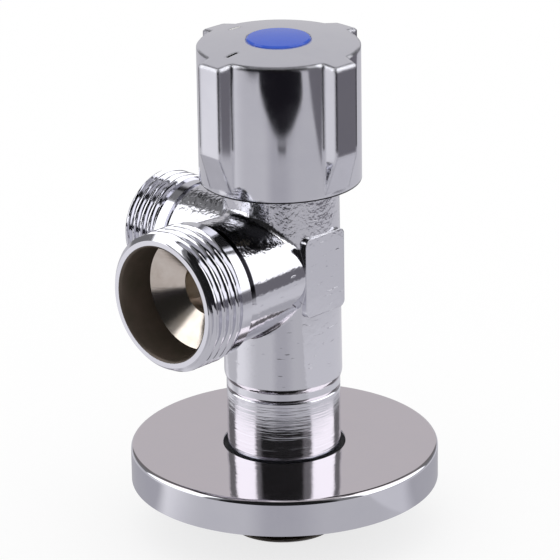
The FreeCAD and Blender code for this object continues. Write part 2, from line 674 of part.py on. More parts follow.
def index_button():
    """Coloured button pressed in the top of the handle."""
    rim_z = crown_z(BUTTON_R) + BUTTON_RIM_PROUD
    top = vec(0, 0, rim_z + BUTTON_DOME)
    shoulder = BUTTON_R - BUTTON_RIM_PROUD
    start = vec(shoulder, 0, rim_z)
    middle = vec(shoulder / 2, 0, rim_z + BUTTON_DOME * 0.75)
    edges = [
        Part.Arc(top, middle, start).toShape(),
        Part.makeLine(start, vec(BUTTON_R, 0, rim_z - BUTTON_RIM_PROUD)),
        Part.makeLine(vec(BUTTON_R, 0, rim_z - BUTTON_RIM_PROUD), vec(BUTTON_R, 0, BUTTON_STEP_Z)),
        Part.makeLine(vec(BUTTON_R, 0, BUTTON_STEP_Z), vec(0, 0, BUTTON_STEP_Z)),
        Part.makeLine(vec(0, 0, BUTTON_STEP_Z), top),
    ]
    disc_top = Part.Face(Part.Wire(edges)).revolve(ORIGIN, AXIS, 360)
    plug_z = BUTTON_STEP_Z - BUTTON_PLUG_LEN
    plug = tube(BUTTON_PLUG_R, BUTTON_PLUG_R - 1, plug_z, BUTTON_STEP_Z)
    return disc_top.fuse(plug).removeSplitter()


def wall_flange():
    """Pressed sheet flange that covers the wall opening: disc, rolled edge and skirt."""
    bottom = FLANGE_TOP_Z - FLANGE_DEPTH
    edge = FLANGE_EDGE_R
    inner_edge = edge - FLANGE_SHEET
    bend = math.sqrt(0.5)
    centre_r = FLANGE_R - edge
    centre_z = FLANGE_TOP_Z - edge
    under = FLANGE_TOP_Z - FLANGE_SHEET
    outer_mid = vec(centre_r + edge * bend, 0, centre_z + edge * bend)
    inner_mid = vec(centre_r + inner_edge * bend, 0, centre_z + inner_edge * bend)
    hole_edge = FLANGE_HOLE_EDGE_R
    hole_mid = vec(
        FLANGE_HOLE_R + hole_edge * (1 - bend), 0, FLANGE_TOP_Z - hole_edge * (1 - bend))
    edges = [
        Part.Arc(vec(FLANGE_HOLE_R, 0, FLANGE_TOP_Z - hole_edge), hole_mid,
                 vec(FLANGE_HOLE_R + hole_edge, 0, FLANGE_TOP_Z)).toShape(),
        Part.makeLine(vec(FLANGE_HOLE_R + hole_edge, 0, FLANGE_TOP_Z),
                      vec(centre_r, 0, FLANGE_TOP_Z)),
        Part.Arc(vec(centre_r, 0, FLANGE_TOP_Z), outer_mid, vec(FLANGE_R, 0, centre_z)).toShape(),
        Part.makeLine(vec(FLANGE_R, 0, centre_z), vec(FLANGE_R, 0, bottom)),
        Part.makeLine(vec(FLANGE_R, 0, bottom), vec(FLANGE_R - FLANGE_SHEET, 0, bottom)),
        Part.makeLine(vec(FLANGE_R - FLANGE_SHEET, 0, bottom),
                      vec(FLANGE_R - FLANGE_SHEET, 0, centre_z)),
        Part.Arc(vec(FLANGE_R - FLANGE_SHEET, 0, centre_z), inner_mid,
                 vec(centre_r, 0, under)).toShape(),
        Part.makeLine(vec(centre_r, 0, under), vec(FLANGE_HOLE_R, 0, under)),
        Part.makeLine(vec(FLANGE_HOLE_R, 0, under),
                      vec(FLANGE_HOLE_R, 0, FLANGE_TOP_Z - hole_edge)),
    ]
    return Part.Face(Part.Wire(edges)).revolve(ORIGIN, AXIS, 360)


def flange_grip_ring():
    """Rubber ring under the flange that keeps it where it is slid to."""
    top = FLANGE_TOP_Z - FLANGE_SHEET
    return tube(GRIP_RING_R, NECK_R + GRIP_FIT, top - GRIP_RING_H, top)


PARTS = {
    "valve_body": valve_body,
    "ball": ball,
    "lower_seat": lower_seat,
    "seat_o_ring": seat_o_ring,
    "cavity_liner": cavity_liner,
    "upper_seat": upper_seat,
    "bonnet": bonnet,
    "bonnet_o_ring": bonnet_o_ring,
    "stem": stem,
    "thrust_washer": thrust_washer,
    "stop_ring": stop_ring,
    "retaining_clip": retaining_clip,
    "handle": handle,
    "handle_insert": handle_insert,
    "screw_washer": screw_washer,
    "handle_screw": handle_screw,
    "index_button": index_button,
    "wall_flange": wall_flange,
    "flange_grip_ring": flange_grip_ring,
}


def main():
    os.makedirs("parts", exist_ok=True)
    shapes = {name: make() for name, make in PARTS.items()}
    lower_z, upper_z = stem_ring_heights()
    shapes["stem_o_ring_lower"] = stem_o_ring(lower_z)
    shapes["stem_o_ring_upper"] = stem_o_ring(upper_z)
    for name, shape in shapes.items():
        box = shape.BoundBox
        print(name, "valid", shape.isValid(), "solids", len(shape.Solids),
              "volume", round(shape.Volume, 1), "z", round(box.ZMin, 2), round(box.ZMax, 2))
        shape.exportStep("parts/" + name + ".step")


main()
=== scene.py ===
"""Looks of a chrome-plated double angle ball valve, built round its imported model."""

import json
import logging
import math
from dataclasses import dataclass
from enum import Enum, IntEnum
from typing import Any

import bmesh
import bpy
from mathutils import Matrix, Vector


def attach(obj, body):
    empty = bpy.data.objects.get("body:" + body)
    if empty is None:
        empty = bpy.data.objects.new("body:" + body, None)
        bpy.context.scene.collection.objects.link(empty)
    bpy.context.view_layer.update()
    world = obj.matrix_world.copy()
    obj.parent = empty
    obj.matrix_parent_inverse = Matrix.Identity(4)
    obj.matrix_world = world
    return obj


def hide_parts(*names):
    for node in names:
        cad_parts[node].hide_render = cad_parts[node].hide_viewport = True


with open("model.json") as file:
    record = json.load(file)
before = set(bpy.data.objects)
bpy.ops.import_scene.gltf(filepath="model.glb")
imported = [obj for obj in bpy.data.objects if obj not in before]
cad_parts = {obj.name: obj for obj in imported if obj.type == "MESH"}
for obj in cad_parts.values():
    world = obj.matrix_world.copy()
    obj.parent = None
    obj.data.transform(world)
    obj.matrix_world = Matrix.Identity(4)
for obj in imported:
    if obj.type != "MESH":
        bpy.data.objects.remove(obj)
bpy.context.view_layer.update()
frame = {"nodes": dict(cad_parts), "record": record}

LOG = logging.getLogger("valve")

MM = 0.001
EDGE_RAYS = 6                     # samples that round a worn edge in the shading
SHARP_EDGE = math.radians(40)     # turned pieces stay sharp beyond this angle
CHROME_REFLECTS = (0.77, 0.77, 0.81)  # share of red, green and blue that the plate gives back

Colour = tuple[float, float, float, float]
Material = bpy.types.Material
Socket = bpy.types.NodeSocket
Tree = bpy.types.NodeTree


class Outlet(Enum):
    """The threaded ends, each with the direction that it points in."""

    LARGE = (0.0, -1.0, 0.0)
    SMALL = (-1.0, 0.0, 0.0)
    INLET = (0.0, 0.0, -1.0)


class Region(IntEnum):
    """Stretches of the forging by their finish, in the order of its materials."""

    FORGED = 0
    TURNED = 1
    MOUTH = 2
    DRILLED = 3
    NECK = 4


class CapFace(IntEnum):
    """Faces of the handle by their finish, in the order of its materials."""

    PLATED = 0
    BARE = 1
    SATIN_SHADED = 2
    BLACK_MARK = 3
    WHITE_MARK = 4


def linear(hex_colour: str) -> Colour:
    """Turn an sRGB hex value into linear light.

    Args:
        hex_colour: six hex digits, with or without a leading mark.

    Returns:
        Red, green, blue and an alpha of one.
    """
    digits = hex_colour.lstrip("#")
    channels = []
    for start in (0, 2, 4):
        value = int(digits[start:start + 2], 16) / 255.0
        low = value <= 0.04045
        channels.append(value / 12.92 if low else ((value + 0.055) / 1.055) ** 2.4)
    return (channels[0], channels[1], channels[2], 1.0)


def add_node(tree: Tree, kind: str, settings: dict[str, Any] | None = None,
             inputs: dict[str | int, Any] | None = None) -> bpy.types.Node:
    """Add a shader node with its settings and inputs.

    Args:
        tree: the node tree.
        kind: the node's type name, without its common prefix.
        settings: attributes of the node.
        inputs: input name or number to a plain value, or to the socket that feeds it.

    Returns:
        The new node.
    """
    node = tree.nodes.new("ShaderNode" + kind)
    for name, value in (settings or {}).items():
        setattr(node, name, value)
    for name, value in (inputs or {}).items():
        socket = node.inputs[name]
        if isinstance(value, Socket):
            tree.links.new(value, socket)
        else:
            socket.default_value = value
    return node


def mirrored(hex_colour: str) -> Colour:
    """Light that a thing must give off to look like a colour in the chrome.

    Args:
        hex_colour: the colour as it is to show in the chrome.

    Returns:
        Linear red, green, blue and an alpha of one.
    """
    red, green, blue = (light / share for light, share in zip(linear(hex_colour), CHROME_REFLECTS))
    return (red, green, blue, 1.0)


def overlap(tree: Tree, ramps: list[tuple[Socket, float, float]]) -> Socket:
    """Multiply soft steps, so that a zone is where all of them are one.

    Args:
        tree: the node tree.
        ramps: for each step, its value, where it is zero and where it is one.

    Returns:
        A socket from zero to one.
    """
    factor = None
    for value, zero_at, one_at in ramps:
        low, high = min(zero_at, one_at), max(zero_at, one_at)
        rising = one_at > zero_at
        step = add_node(tree, "MapRange", {"interpolation_type": "SMOOTHSTEP"}, {
            "Value": value, "From Min": low, "From Max": high,
            "To Min": 0.0 if rising else 1.0, "To Max": 1.0 if rising else 0.0})
        if factor is None:
            factor = step.outputs["Result"]
        else:
            joined = add_node(tree, "Math", {"operation": "MULTIPLY"},
                              {0: factor, 1: step.outputs["Result"]})
            factor = joined.outputs[0]
    return factor


def new_material(name: str) -> tuple[Material, Tree]:
    """Make an empty node material.

    Args:
        name: the material's name.

    Returns:
        The material and its empty node tree.
    """
    material = bpy.data.materials.new(name)
    material.use_nodes = True
    material.node_tree.nodes.clear()
    return material, material.node_tree


def finish_material(tree: Tree, shader: bpy.types.Node) -> None:
    """Send a shader to the material's output.

    Args:
        tree: the node tree.
        shader: the node whose first output is the surface.
    """
    add_node(tree, "OutputMaterial", inputs={"Surface": shader.outputs[0]})


def position_mm(tree: Tree) -> Socket:
    """Give the surface's own place in millimetres, so that patterns have real sizes.

    Args:
        tree: the node tree.

    Returns:
        A vector socket.
    """
    place = add_node(tree, "TexCoord")
    scaled = add_node(tree, "VectorMath", {"operation": "SCALE"},
                      {0: place.outputs["Object"], "Scale": 1.0 / MM})
    return scaled.outputs[0]


@dataclass(frozen=True)
class ChromePlate:
    """Decorative chrome plate: bright nickel and chromium over polished metal."""

    name: str
    colour: str = "#E3E3E8"
    drift: str = "#DADAE2"        # its slow drift over the surface
    roughness: float = 0.045
    haze: float = 0.03            # extra roughness in faint wiped patches
    patch_mm: float = 6.0         # size of those patches
    wave_mm: float = 9.0          # slow unevenness left by polishing
    wave_depth: float = 0.010
    edge_mm: float = 0.0          # polished edges are rounded this much
    painted_shade_below: float | None = None     # painted shade: under this height the colour is darkened
    painted_shade_colour: str = "#2A292D"
    painted_corner_above: float | None = None    # painted dark reflection: over this height upright corners are darkened
    painted_corner_colour: str = "#1B1A1F"
    painted_corner_turn: tuple[float, float] = (0.97, 0.91)    # how far the edge turns away there
    painted_corner_level: tuple[float, float] = (0.3, 0.2)     # and how upright it stands

    def build(self) -> Material:
        """Make the material: a mirror with slight haze and slow polishing waves.

        Returns:
            The material.
        """
        material, tree = new_material(self.name)
        place = position_mm(tree)
        patches = add_node(tree, "TexNoise", inputs={
            "Vector": place, "Scale": 1.0 / self.patch_mm, "Detail": 4.0, "Roughness": 0.6})
        rough = add_node(tree, "MapRange", inputs={
            "Value": patches.outputs["Fac"], "From Min": 0.35, "From Max": 0.75,
            "To Min": self.roughness, "To Max": self.roughness + self.haze})
        tint = add_node(tree, "MixRGB", inputs={
            "Fac": patches.outputs["Fac"], "Color1": linear(self.colour),
            "Color2": linear(self.drift)})
        waves = add_node(tree, "TexNoise", inputs={
            "Vector": place, "Scale": 1.0 / self.wave_mm, "Detail": 1.0, "Roughness": 0.4})
        bump = add_node(tree, "Bump", inputs={
            "Strength": 1.0, "Distance": self.wave_depth * MM, "Height": waves.outputs["Fac"]})
        colour = tint.outputs["Color"]
        if self.edge_mm > 0.0:
            edge = add_node(tree, "Bevel", {"samples": EDGE_RAYS}, {"Radius": self.edge_mm * MM})
            tree.links.new(edge.outputs["Normal"], bump.inputs["Normal"])
            colour = self.paint_shade_and_dark_corners(tree, place, edge.outputs["Normal"], colour)
        shader = add_node(tree, "BsdfPrincipled", inputs={
            "Base Color": colour, "Metallic": 1.0,
            "Roughness": rough.outputs["Result"], "Normal": bump.outputs["Normal"]})
        finish_material(tree, shader)
        return material

    def paint_shade_and_dark_corners(self, tree: Tree, place: Socket, rounded: Socket,
                   colour: Socket) -> Socket:
        """Paint shade under the bottom edge and dark reflections into upright corners.

        Args:
            tree: the material's node tree.
            place: the surface's own place in millimetres.
            rounded: its normal with rounded edges.
            colour: the sound plate's colour.

        Returns:
            The colour with its painted shade and dark reflections.
        """
        height = add_node(tree, "SeparateXYZ", inputs={0: place}).outputs["Z"]
        stretches = []
        # Painted shade: the colour darkens under the bottom edge.
        if self.painted_shade_below is not None:
            stretches.append((self.painted_shade_colour, [
                (height, self.painted_shade_below + 0.12, self.painted_shade_below)]))
        # Painted dark reflection: upright corners high on the lobes are darkened.
        if self.painted_corner_above is not None:
            face = add_node(tree, "NewGeometry")
            apart = add_node(tree, "VectorMath", {"operation": "DOT_PRODUCT"},
                             {0: rounded, 1: face.outputs["Normal"]})
            tilt = add_node(tree, "SeparateXYZ", inputs={0: rounded})
            level = add_node(tree, "Math", {"operation": "ABSOLUTE"}, {0: tilt.outputs["Z"]})
            stretches.append((self.painted_corner_colour, [
                (apart.outputs["Value"], *self.painted_corner_turn),
                (level.outputs[0], *self.painted_corner_level),
                (height, self.painted_corner_above, self.painted_corner_above + 1.0)]))
        for tone, ramps in stretches:
            darker = add_node(tree, "MixRGB", inputs={
                "Fac": overlap(tree, ramps), "Color1": colour, "Color2": linear(tone)})
            colour = darker.outputs["Color"]
        return colour


@dataclass(frozen=True)
class ForgedChrome:
    """Chrome plate over a hot forging: the forging's skin shows as orange peel."""

    name: str = "forged_chrome"
    colour: str = "#E0E0E6"
    roughness: float = 0.07
    peel_mm: float = 0.95         # grain of the forging's skin
    smooth_peel: float = 0.020    # its depth where the forging was buffed
    rough_peel: float = 0.12      # and where the buff didn't reach
    dent_mm: float = 3.2          # larger hollows left by scale
    dent_depth: float = 0.05
    rough_from: float = 61.0      # above this height the skin is left rough
    rough_out: float = 12.0       # and beyond this distance along the small outlet
    wander_mm: float = 4.545      # how fast the border of the rough skin wanders
    wander_by: float = 6.0
    nick_mm: float = 0.5          # short level nicks on the buffed column
    nick_depth: float = 0.026
    nick_squash: tuple[float, float, float] = (0.4, 0.4, 2.6)
    nick_peaks: tuple[float, float] = (0.69, 0.78)
    edge_mm: float = 0.3          # polished edges are rounded this much
    shade_tone: str = "#1E1D22"
    shade_from: float = 19.1      # painted shade in the groove behind the large collar
    shade_to: float = 20.6
    shade_low: float = 53.0       # it fades in between these two heights
    shade_high: float = 56.5

    def build(self) -> Material:
        """Make the material: plated metal with buffed and rough stretches.

        Returns:
            The material.
        """
        material, tree = new_material(self.name)
        place = position_mm(tree)
        along = add_node(tree, "SeparateXYZ", inputs={0: place})
        wander = add_node(tree, "TexNoise", inputs={
            "Vector": place, "Scale": 1.0 / self.wander_mm, "Detail": 2.0, "Roughness": 0.5})
        wandered = add_node(tree, "Math", {"operation": "MULTIPLY_ADD"}, {
            0: wander.outputs["Fac"], 1: self.wander_by, 2: along.outputs["Z"]})
        high = overlap(tree, [(wandered.outputs[0], self.rough_from + 1.0, self.rough_from + 6.0)])
        out = add_node(tree, "Math", {"operation": "MULTIPLY"}, {0: along.outputs["X"], 1: -1.0})
        far_out = overlap(tree, [(out.outputs[0], self.rough_out - 2.0, self.rough_out)])
        rough_zone = add_node(tree, "Math", {"operation": "MAXIMUM"}, {0: high, 1: far_out})
        depth = add_node(tree, "MapRange", inputs={
            "Value": rough_zone.outputs[0], "To Min": self.smooth_peel * MM,
            "To Max": self.rough_peel * MM})
        peel = add_node(tree, "TexNoise", inputs={
            "Vector": place, "Scale": 1.0 / self.peel_mm, "Detail": 2.5, "Roughness": 0.5})
        dents = add_node(tree, "TexNoise", inputs={
            "Vector": place, "Scale": 1.0 / self.dent_mm, "Detail": 2.0, "Roughness": 0.5})
        # The nicks are noise pressed flat, of which only the peaks are kept.
        level = add_node(tree, "VectorMath", {"operation": "MULTIPLY"},
                         {0: place, 1: self.nick_squash})
        nicks = add_node(tree, "TexNoise", inputs={
            "Vector": level.outputs[0], "Scale": self.nick_squash[0] / self.nick_mm,
            "Detail": 1.0, "Roughness": 0.5})
        struck = overlap(tree, [(nicks.outputs["Fac"], *self.nick_peaks)])
        skin = add_node(tree, "Bevel", {"samples": EDGE_RAYS}, {"Radius": self.edge_mm * MM})
        for relief, height in ((self.dent_depth * MM, dents.outputs["Fac"]),
                               (self.nick_depth * MM, struck),
                               (depth.outputs["Result"], peel.outputs["Fac"])):
            skin = add_node(tree, "Bump", inputs={
                "Strength": 1.0, "Distance": relief, "Height": height,
                "Normal": skin.outputs["Normal"]})
        rough = add_node(tree, "MapRange", inputs={
            "Value": rough_zone.outputs[0], "To Min": self.roughness,
            "To Max": self.roughness + 0.07})
        # Painted shade: the groove behind the large collar is darkened, fading in with height.
        reach = add_node(tree, "Math", {"operation": "MULTIPLY"}, {0: along.outputs["Y"], 1: -1.0})
        shade = overlap(tree, [
            (reach.outputs[0], self.shade_from, self.shade_from + 0.35),
            (reach.outputs[0], self.shade_to, self.shade_to - 0.1),
            (along.outputs["Z"], self.shade_low, self.shade_high)])
        colour = add_node(tree, "MixRGB", inputs={
            "Fac": shade, "Color1": linear(self.colour), "Color2": linear(self.shade_tone)})
        shader = add_node(tree, "BsdfPrincipled", inputs={
            "Base Color": colour.outputs["Color"], "Metallic": 1.0,
            "Roughness": rough.outputs["Result"], "Normal": skin.outputs["Normal"]})
        finish_material(tree, shader)
        return material


@dataclass(frozen=True)
class TurnedMetal:
    """Metal cut on a lathe: fine rings left by the tool run round the part."""

    name: str
    colour: str
    roughness: float = 0.09
    ring_mm: float = 0.35         # feed of the lathe tool, drawn coarse enough to show
    ring_depth: float = 0.006
    patch_mm: float = 4.0         # size of the patches in tone and gloss
    stain: str | None = None      # colour of the darker patches, where there are any
    metallic: float = 1.0         # less where tarnish hides the metal

    def build(self) -> Material:
        """Make the material: rings across the valve's axis, uneven as a worn tool leaves them.

        Returns:
            The material.
        """
        material, tree = new_material(self.name)
        place = position_mm(tree)
        # Drawn out level, the noise lies round the part in rings.
        squash = add_node(tree, "VectorMath", {"operation": "MULTIPLY"},
                          {0: place, 1: (0.03, 0.03, 1.0)})
        rings = add_node(tree, "TexNoise", inputs={
            "Vector": squash.outputs[0], "Scale": 1.0 / self.ring_mm, "Detail": 2.0,
            "Roughness": 0.5})
        patches = add_node(tree, "TexNoise", inputs={
            "Vector": place, "Scale": 1.0 / self.patch_mm, "Detail": 4.0, "Roughness": 0.6})
        bump = add_node(tree, "Bump", inputs={
            "Strength": 1.0, "Distance": self.ring_depth * MM, "Height": rings.outputs["Fac"]})
        tint = add_node(tree, "MixRGB", inputs={
            "Fac": patches.outputs["Fac"], "Color1": linear(self.colour),
            "Color2": linear(self.stain or self.colour)})
        rough = add_node(tree, "MapRange", inputs={
            "Value": patches.outputs["Fac"], "From Min": 0.3, "From Max": 0.8,
            "To Min": self.roughness, "To Max": self.roughness + 0.06})
        shader = add_node(tree, "BsdfPrincipled", inputs={
            "Base Color": tint.outputs["Color"], "Metallic": self.metallic,
            "Roughness": rough.outputs["Result"], "Normal": bump.outputs["Normal"]})
        finish_material(tree, shader)
        return material


@dataclass(frozen=True)
class MouldedPlastic:
    """Injection-moulded plastic or pressed rubber, with the grain of its mould."""

    name: str
    colour: str
    shade: str
    roughness: float
    grain_mm: float = 0.25
    grain_depth: float = 0.004
    drift_mm: float = 3.333       # size of the slow drift in its colour
    specular: float = 0.5         # less where the sheen is held back by use

    def build(self) -> Material:
        """Make the material: slight colour drift and a fine mould grain.

        Returns:
            The material.
        """
        material, tree = new_material(self.name)
        place = position_mm(tree)
        drift = add_node(tree, "TexNoise", inputs={
            "Vector": place, "Scale": 1.0 / self.drift_mm, "Detail": 3.0, "Roughness": 0.5})
        grain = add_node(tree, "TexNoise", inputs={
            "Vector": place, "Scale": 1.0 / self.grain_mm, "Detail": 2.0, "Roughness": 0.5})
        tint = add_node(tree, "MixRGB", inputs={
            "Fac": drift.outputs["Fac"], "Color1": linear(self.colour),
            "Color2": linear(self.shade)})
        bump = add_node(tree, "Bump", inputs={
            "Strength": 1.0, "Distance": self.grain_depth * MM, "Height": grain.outputs["Fac"]})
        rough = add_node(tree, "MapRange", inputs={
            "Value": drift.outputs["Fac"], "From Min": 0.3, "From Max": 0.7,
            "To Min": self.roughness, "To Max": self.roughness + 0.05})
        shader = add_node(tree, "BsdfPrincipled", inputs={
            "Base Color": tint.outputs["Color"], "Roughness": rough.outputs["Result"],
            "Specular IOR Level": self.specular, "Normal": bump.outputs["Normal"]})
        finish_material(tree, shader)
        return material


class Finishes:
    """Every finish on the valve, built once."""

    def __init__(self) -> None:
        """Build each material."""
        # Bright plate on a polished zinc casting: a clean mirror with slow waves.
        # Its colour darkens under the bottom edge as painted shade, and in the lobes' upright
        # corners as painted dark reflections.
        self.handle_chrome = ChromePlate(
            "handle_chrome", edge_mm=1.0, painted_shade_below=70.6, painted_corner_above=79.5).build()
        # The slanted ends of the lobes: slightly rougher plate, its colour darkened to paint the
        # shade they show.
        self.satin_shaded_chrome = ChromePlate(
            "satin_shaded_chrome", colour="#C6C6CC", roughness=0.09, edge_mm=1.0, painted_shade_below=70.6).build()
        # Inside the handle the casting is bare, dull zinc, coloured nearly black to paint the
        # shade inside the cap.
        self.bare_zinc_painted_dark = MouldedPlastic("bare_zinc_painted_dark", "#1E1D1F", "#29282A", 0.6).build()
        # Enamel in the two index marks.
        self.black_paint = MouldedPlastic("black_enamel", "#151517", "#1D1D20", 0.3).build()
        self.white_paint = MouldedPlastic("white_enamel", "#F4F4F2", "#E9E9E6", 0.3).build()
        # The inlet thread sits in the wall under the flange: bare brass, coloured nearly black to
        # paint the flange's shadow on it.
        self.inlet_brass_painted_shade = TurnedMetal(
            "shaded_inlet_brass", "#5A554E", roughness=0.24, stain="#47433D").build()
        # Bright plate on pressed sheet: flatter than a casting, so steadier reflections.
        self.flange_chrome = ChromePlate("flange_chrome", wave_mm=14.0, wave_depth=0.006).build()
        # Its flat front is coloured a little warmer than its edge: a painted reflection of a warm
        # part of the room.
        self.flange_top_painted_reflection = ChromePlate(
            "flange_top_chrome_painted_tint", colour="#DED6DA", drift="#DAD4D8", wave_mm=14.0,
            wave_depth=0.006).build()
        # Plate over a forging: the mirror breaks up in orange peel.
        self.forged_chrome = ForgedChrome().build()
        # Plate over turned brass: the tool's rings show as fine level lines.
        self.turned_chrome = TurnedMetal("turned_chrome", "#E0E0E6").build()
        # The neck was turned with a coarse feed and plated without buffing.
        self.neck_chrome = TurnedMetal(
            "neck_chrome", "#E0E0E6", roughness=0.1, ring_mm=0.4, ring_depth=0.07).build()
        # Plate over cut threads: bright crests.
        self.thread_chrome = ChromePlate("thread_chrome", roughness=0.06, wave_depth=0.004).build()
        # Bare brass in the outlets' mouths: tarnished dark brown where the plate doesn't reach.
        self.mouth_brass = TurnedMetal(
            "mouth_brass", "#63554E", roughness=0.34, stain="#423F33", metallic=0.45).build()
        # Bare brass where the drill came through last: brighter, and stained in patches.
        self.drilled_brass = TurnedMetal(
            "drilled_brass", "#F4ECE4", roughness=0.13, stain="#C8BAAA").build()
        # Freshly turned brass of bonnet and stem: yellow, with tool rings.
        self.turned_brass = TurnedMetal("turned_brass", "#D8BE7C", roughness=0.18).build()
        # Hard chrome on the ball: the cleanest mirror in the valve.
        self.ball_chrome = ChromePlate("ball_chrome", roughness=0.03, haze=0.01).build()
        # Stainless screw, washer and clip: grey and a little dull.
        self.stainless = TurnedMetal("stainless_steel", "#B8B8B6", roughness=0.22).build()
        # Seats and liner: waxy white fluoropolymer.
        self.ptfe = MouldedPlastic("ptfe", "#F2F1EC", "#E7E5DD", 0.38).build()
        # Stop ring and insert: natural acetal, slightly warm.
        self.acetal = MouldedPlastic("acetal", "#E6E3D6", "#DAD6C6", 0.42).build()
        # O-rings and grip ring: black rubber.
        self.epdm = MouldedPlastic("epdm_rubber", "#1B1B1C", "#242426", 0.55).build()
        # Index button: glossy blue ABS.
        self.blue_abs = MouldedPlastic(
            "blue_abs", "#3D5EC9", "#4465CF", 0.12, grain_depth=0.002, specular=0.3).build()


def coat(mesh: bpy.types.Mesh, *materials: Material) -> None:
    """Give a mesh its finishes in place of what it had.

    Args:
        mesh: the mesh.
        materials: its finishes, in the order that its faces count them.
    """
    mesh.materials.clear()
    for material in materials:
        mesh.materials.append(material)


def dress(node_name: str, material: Material) -> None:
    """Give a carried-over node its finish.

    Args:
        node_name: the node.
        material: its finish.
    """
    coat(frame["nodes"][node_name].data, material)
    LOG.info("dressed %s in %s", node_name, material.name)


def place_piece(name: str, mesh: bpy.types.Mesh, body: str) -> bpy.types.Object:
    """Put a new mesh in the scene and fix it to its body.

    Args:
        name: the piece's name.
        mesh: its mesh, already in place.
        body: the body that it rides on.

    Returns:
        The new object.
    """
    piece = bpy.data.objects.new(name, mesh)
    bpy.context.collection.objects.link(piece)
    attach(piece, body)
    LOG.info("built %s on %s", name, body)
    return piece


def skinned_ring(name: str, sections: list[list[Vector]]) -> bpy.types.Mesh:
    """Skin closed sections that stand round an axis, each joined to the next.

    Args:
        name: the mesh's name.
        sections: the sections in their order, each with as many points, in millimetres.

    Returns:
        The mesh, smooth up to its sharp edges.
    """
    mesh = bpy.data.meshes.new(name)
    shape = bmesh.new()
    rows = [[shape.verts.new(place * MM) for place in section] for section in sections]
    count = len(rows[0])
    for here, there in zip(rows, rows[1:] + rows[:1]):
        for i in range(count):
            j = (i + 1) % count
            shape.faces.new((here[i], here[j], there[j], there[i]))
    bmesh.ops.recalc_face_normals(shape, faces=shape.faces)
    for face in shape.faces:
        face.smooth = True
    shape.to_mesh(mesh)
    shape.free()
    mesh.set_sharp_from_angle(angle=SHARP_EDGE)
    return mesh


@dataclass
class PipeThread:
    """A parallel pipe thread cut from a plain blank, as one closed sleeve."""

    name: str
    end: Outlet
    crest_r: float
    face: float                   # distance from the origin to the end face
    length: float
    bore_r: float                 # the sleeve's hidden inner wall
    origin: tuple[float, float, float]
    chamfer: float = 1.1
    pitch: float = 1.814
    depth: float = 0.95
    crest_flat: float = 0.16      # part of the pitch
    root_flat: float = 0.20
    rounding: float = 0.35        # how much the flanks bend into crest and root
    turn_steps: int = 144
    steps_per_pitch: int = 14

    def height(self, phase: float) -> float:
        """Height of the thread above its root at a part of the pitch.

        Args:
            phase: from 0 to 1 along one pitch.

        Returns:
            From 0 at the root to 1 at the crest.
        """
        half = abs(phase - 0.5) * 2.0
        part = (half - self.crest_flat) / (1.0 - self.root_flat - self.crest_flat)
        part = min(1.0, max(0.0, part))
        bent = 0.5 * (1.0 + math.cos(math.pi * part))
        return self.rounding * bent + (1.0 - self.rounding) * (1.0 - part)

    def radius(self, station: float, turn: float) -> float:
        """Radius of the cut surface.

        Args:
            station: distance back from the end face.
            turn: angle round the axis, in radians.

        Returns:
            The radius in millimetres.
        """
        root = self.crest_r - self.depth
        phase = (station / self.pitch + turn / (2 * math.pi)) % 1.0
        cut = root + self.depth * self.height(phase)
        blank = self.crest_r - max(0.0, self.chamfer - station)
        return min(cut, blank)

    def build(self, material: Material) -> bpy.types.Object:
        """Build the sleeve.

        Args:
            material: its finish.

        Returns:
            The piece.
        """
        axis = Vector(self.end.value)
        side = Vector((0, 0, 1)) if abs(axis.z) < 0.5 else Vector((1, 0, 0))
        across = axis.cross(side)
        base = Vector(self.origin)
        steps = round(self.length / self.pitch * self.steps_per_pitch)
        stations = [self.length * i / steps for i in range(steps + 1)]
        sections = []
        for turn_index in range(self.turn_steps):
            turn = 2 * math.pi * turn_index / self.turn_steps
            out = side * math.cos(turn) + across * math.sin(turn)
            ring = [(self.bore_r, 0.0)]
            ring += [(self.radius(station, turn), station) for station in stations]
            ring.append((self.bore_r, self.length))
            sections.append([base + axis * (self.face - station) + out * radius
                             for radius, station in ring])
        mesh = skinned_ring(self.name, sections)
        coat(mesh, material)
        return place_piece(self.name, mesh, "valve")


@dataclass
class RoundSurface:
    """A cone or cylinder of the forging, for shading that follows the true surface."""

    base: Vector                  # a point on the axis, where the stations start
    axis: Vector
    start: float                  # stations and radii of its two ends, in millimetres
    start_r: float
    end: float
    end_r: float
    tolerance: float = 0.03
    overrun: float = 0.02         # it still holds this far past its ends

    def normal(self, place: Vector) -> Vector | None:
        """Outward direction at a point, if the point lies on the surface.

        Args:
            place: the point, in millimetres.

        Returns:
            The unit normal, or nothing where the point is elsewhere.
        """
        along = (place - self.base).dot(self.axis)
        if not self.start - self.overrun <= along <= self.end + self.overrun:
            return None
        slope = (self.end_r - self.start_r) / (self.end - self.start)
        radius = self.start_r + slope * (along - self.start)
        out = place - self.base - self.axis * along
        if abs(out.length - radius) > self.tolerance:
            return None
        return (out.normalized() - self.axis * slope).normalized()


@dataclass(frozen=True)
class Stub:
    """An outlet of the forging, from the column to its threaded end."""

    thread: str                   # the piece that carries its thread
    mount: str                    # the record's mount that states its crest radius
    end: Outlet
    reach: float                  # from the valve's axis to its end face
    stub_r: float
    sleeve_r: float               # hidden inner wall of the thread's piece
    mouth_r: float
    outer_r: float                # nothing of the stub lies farther out


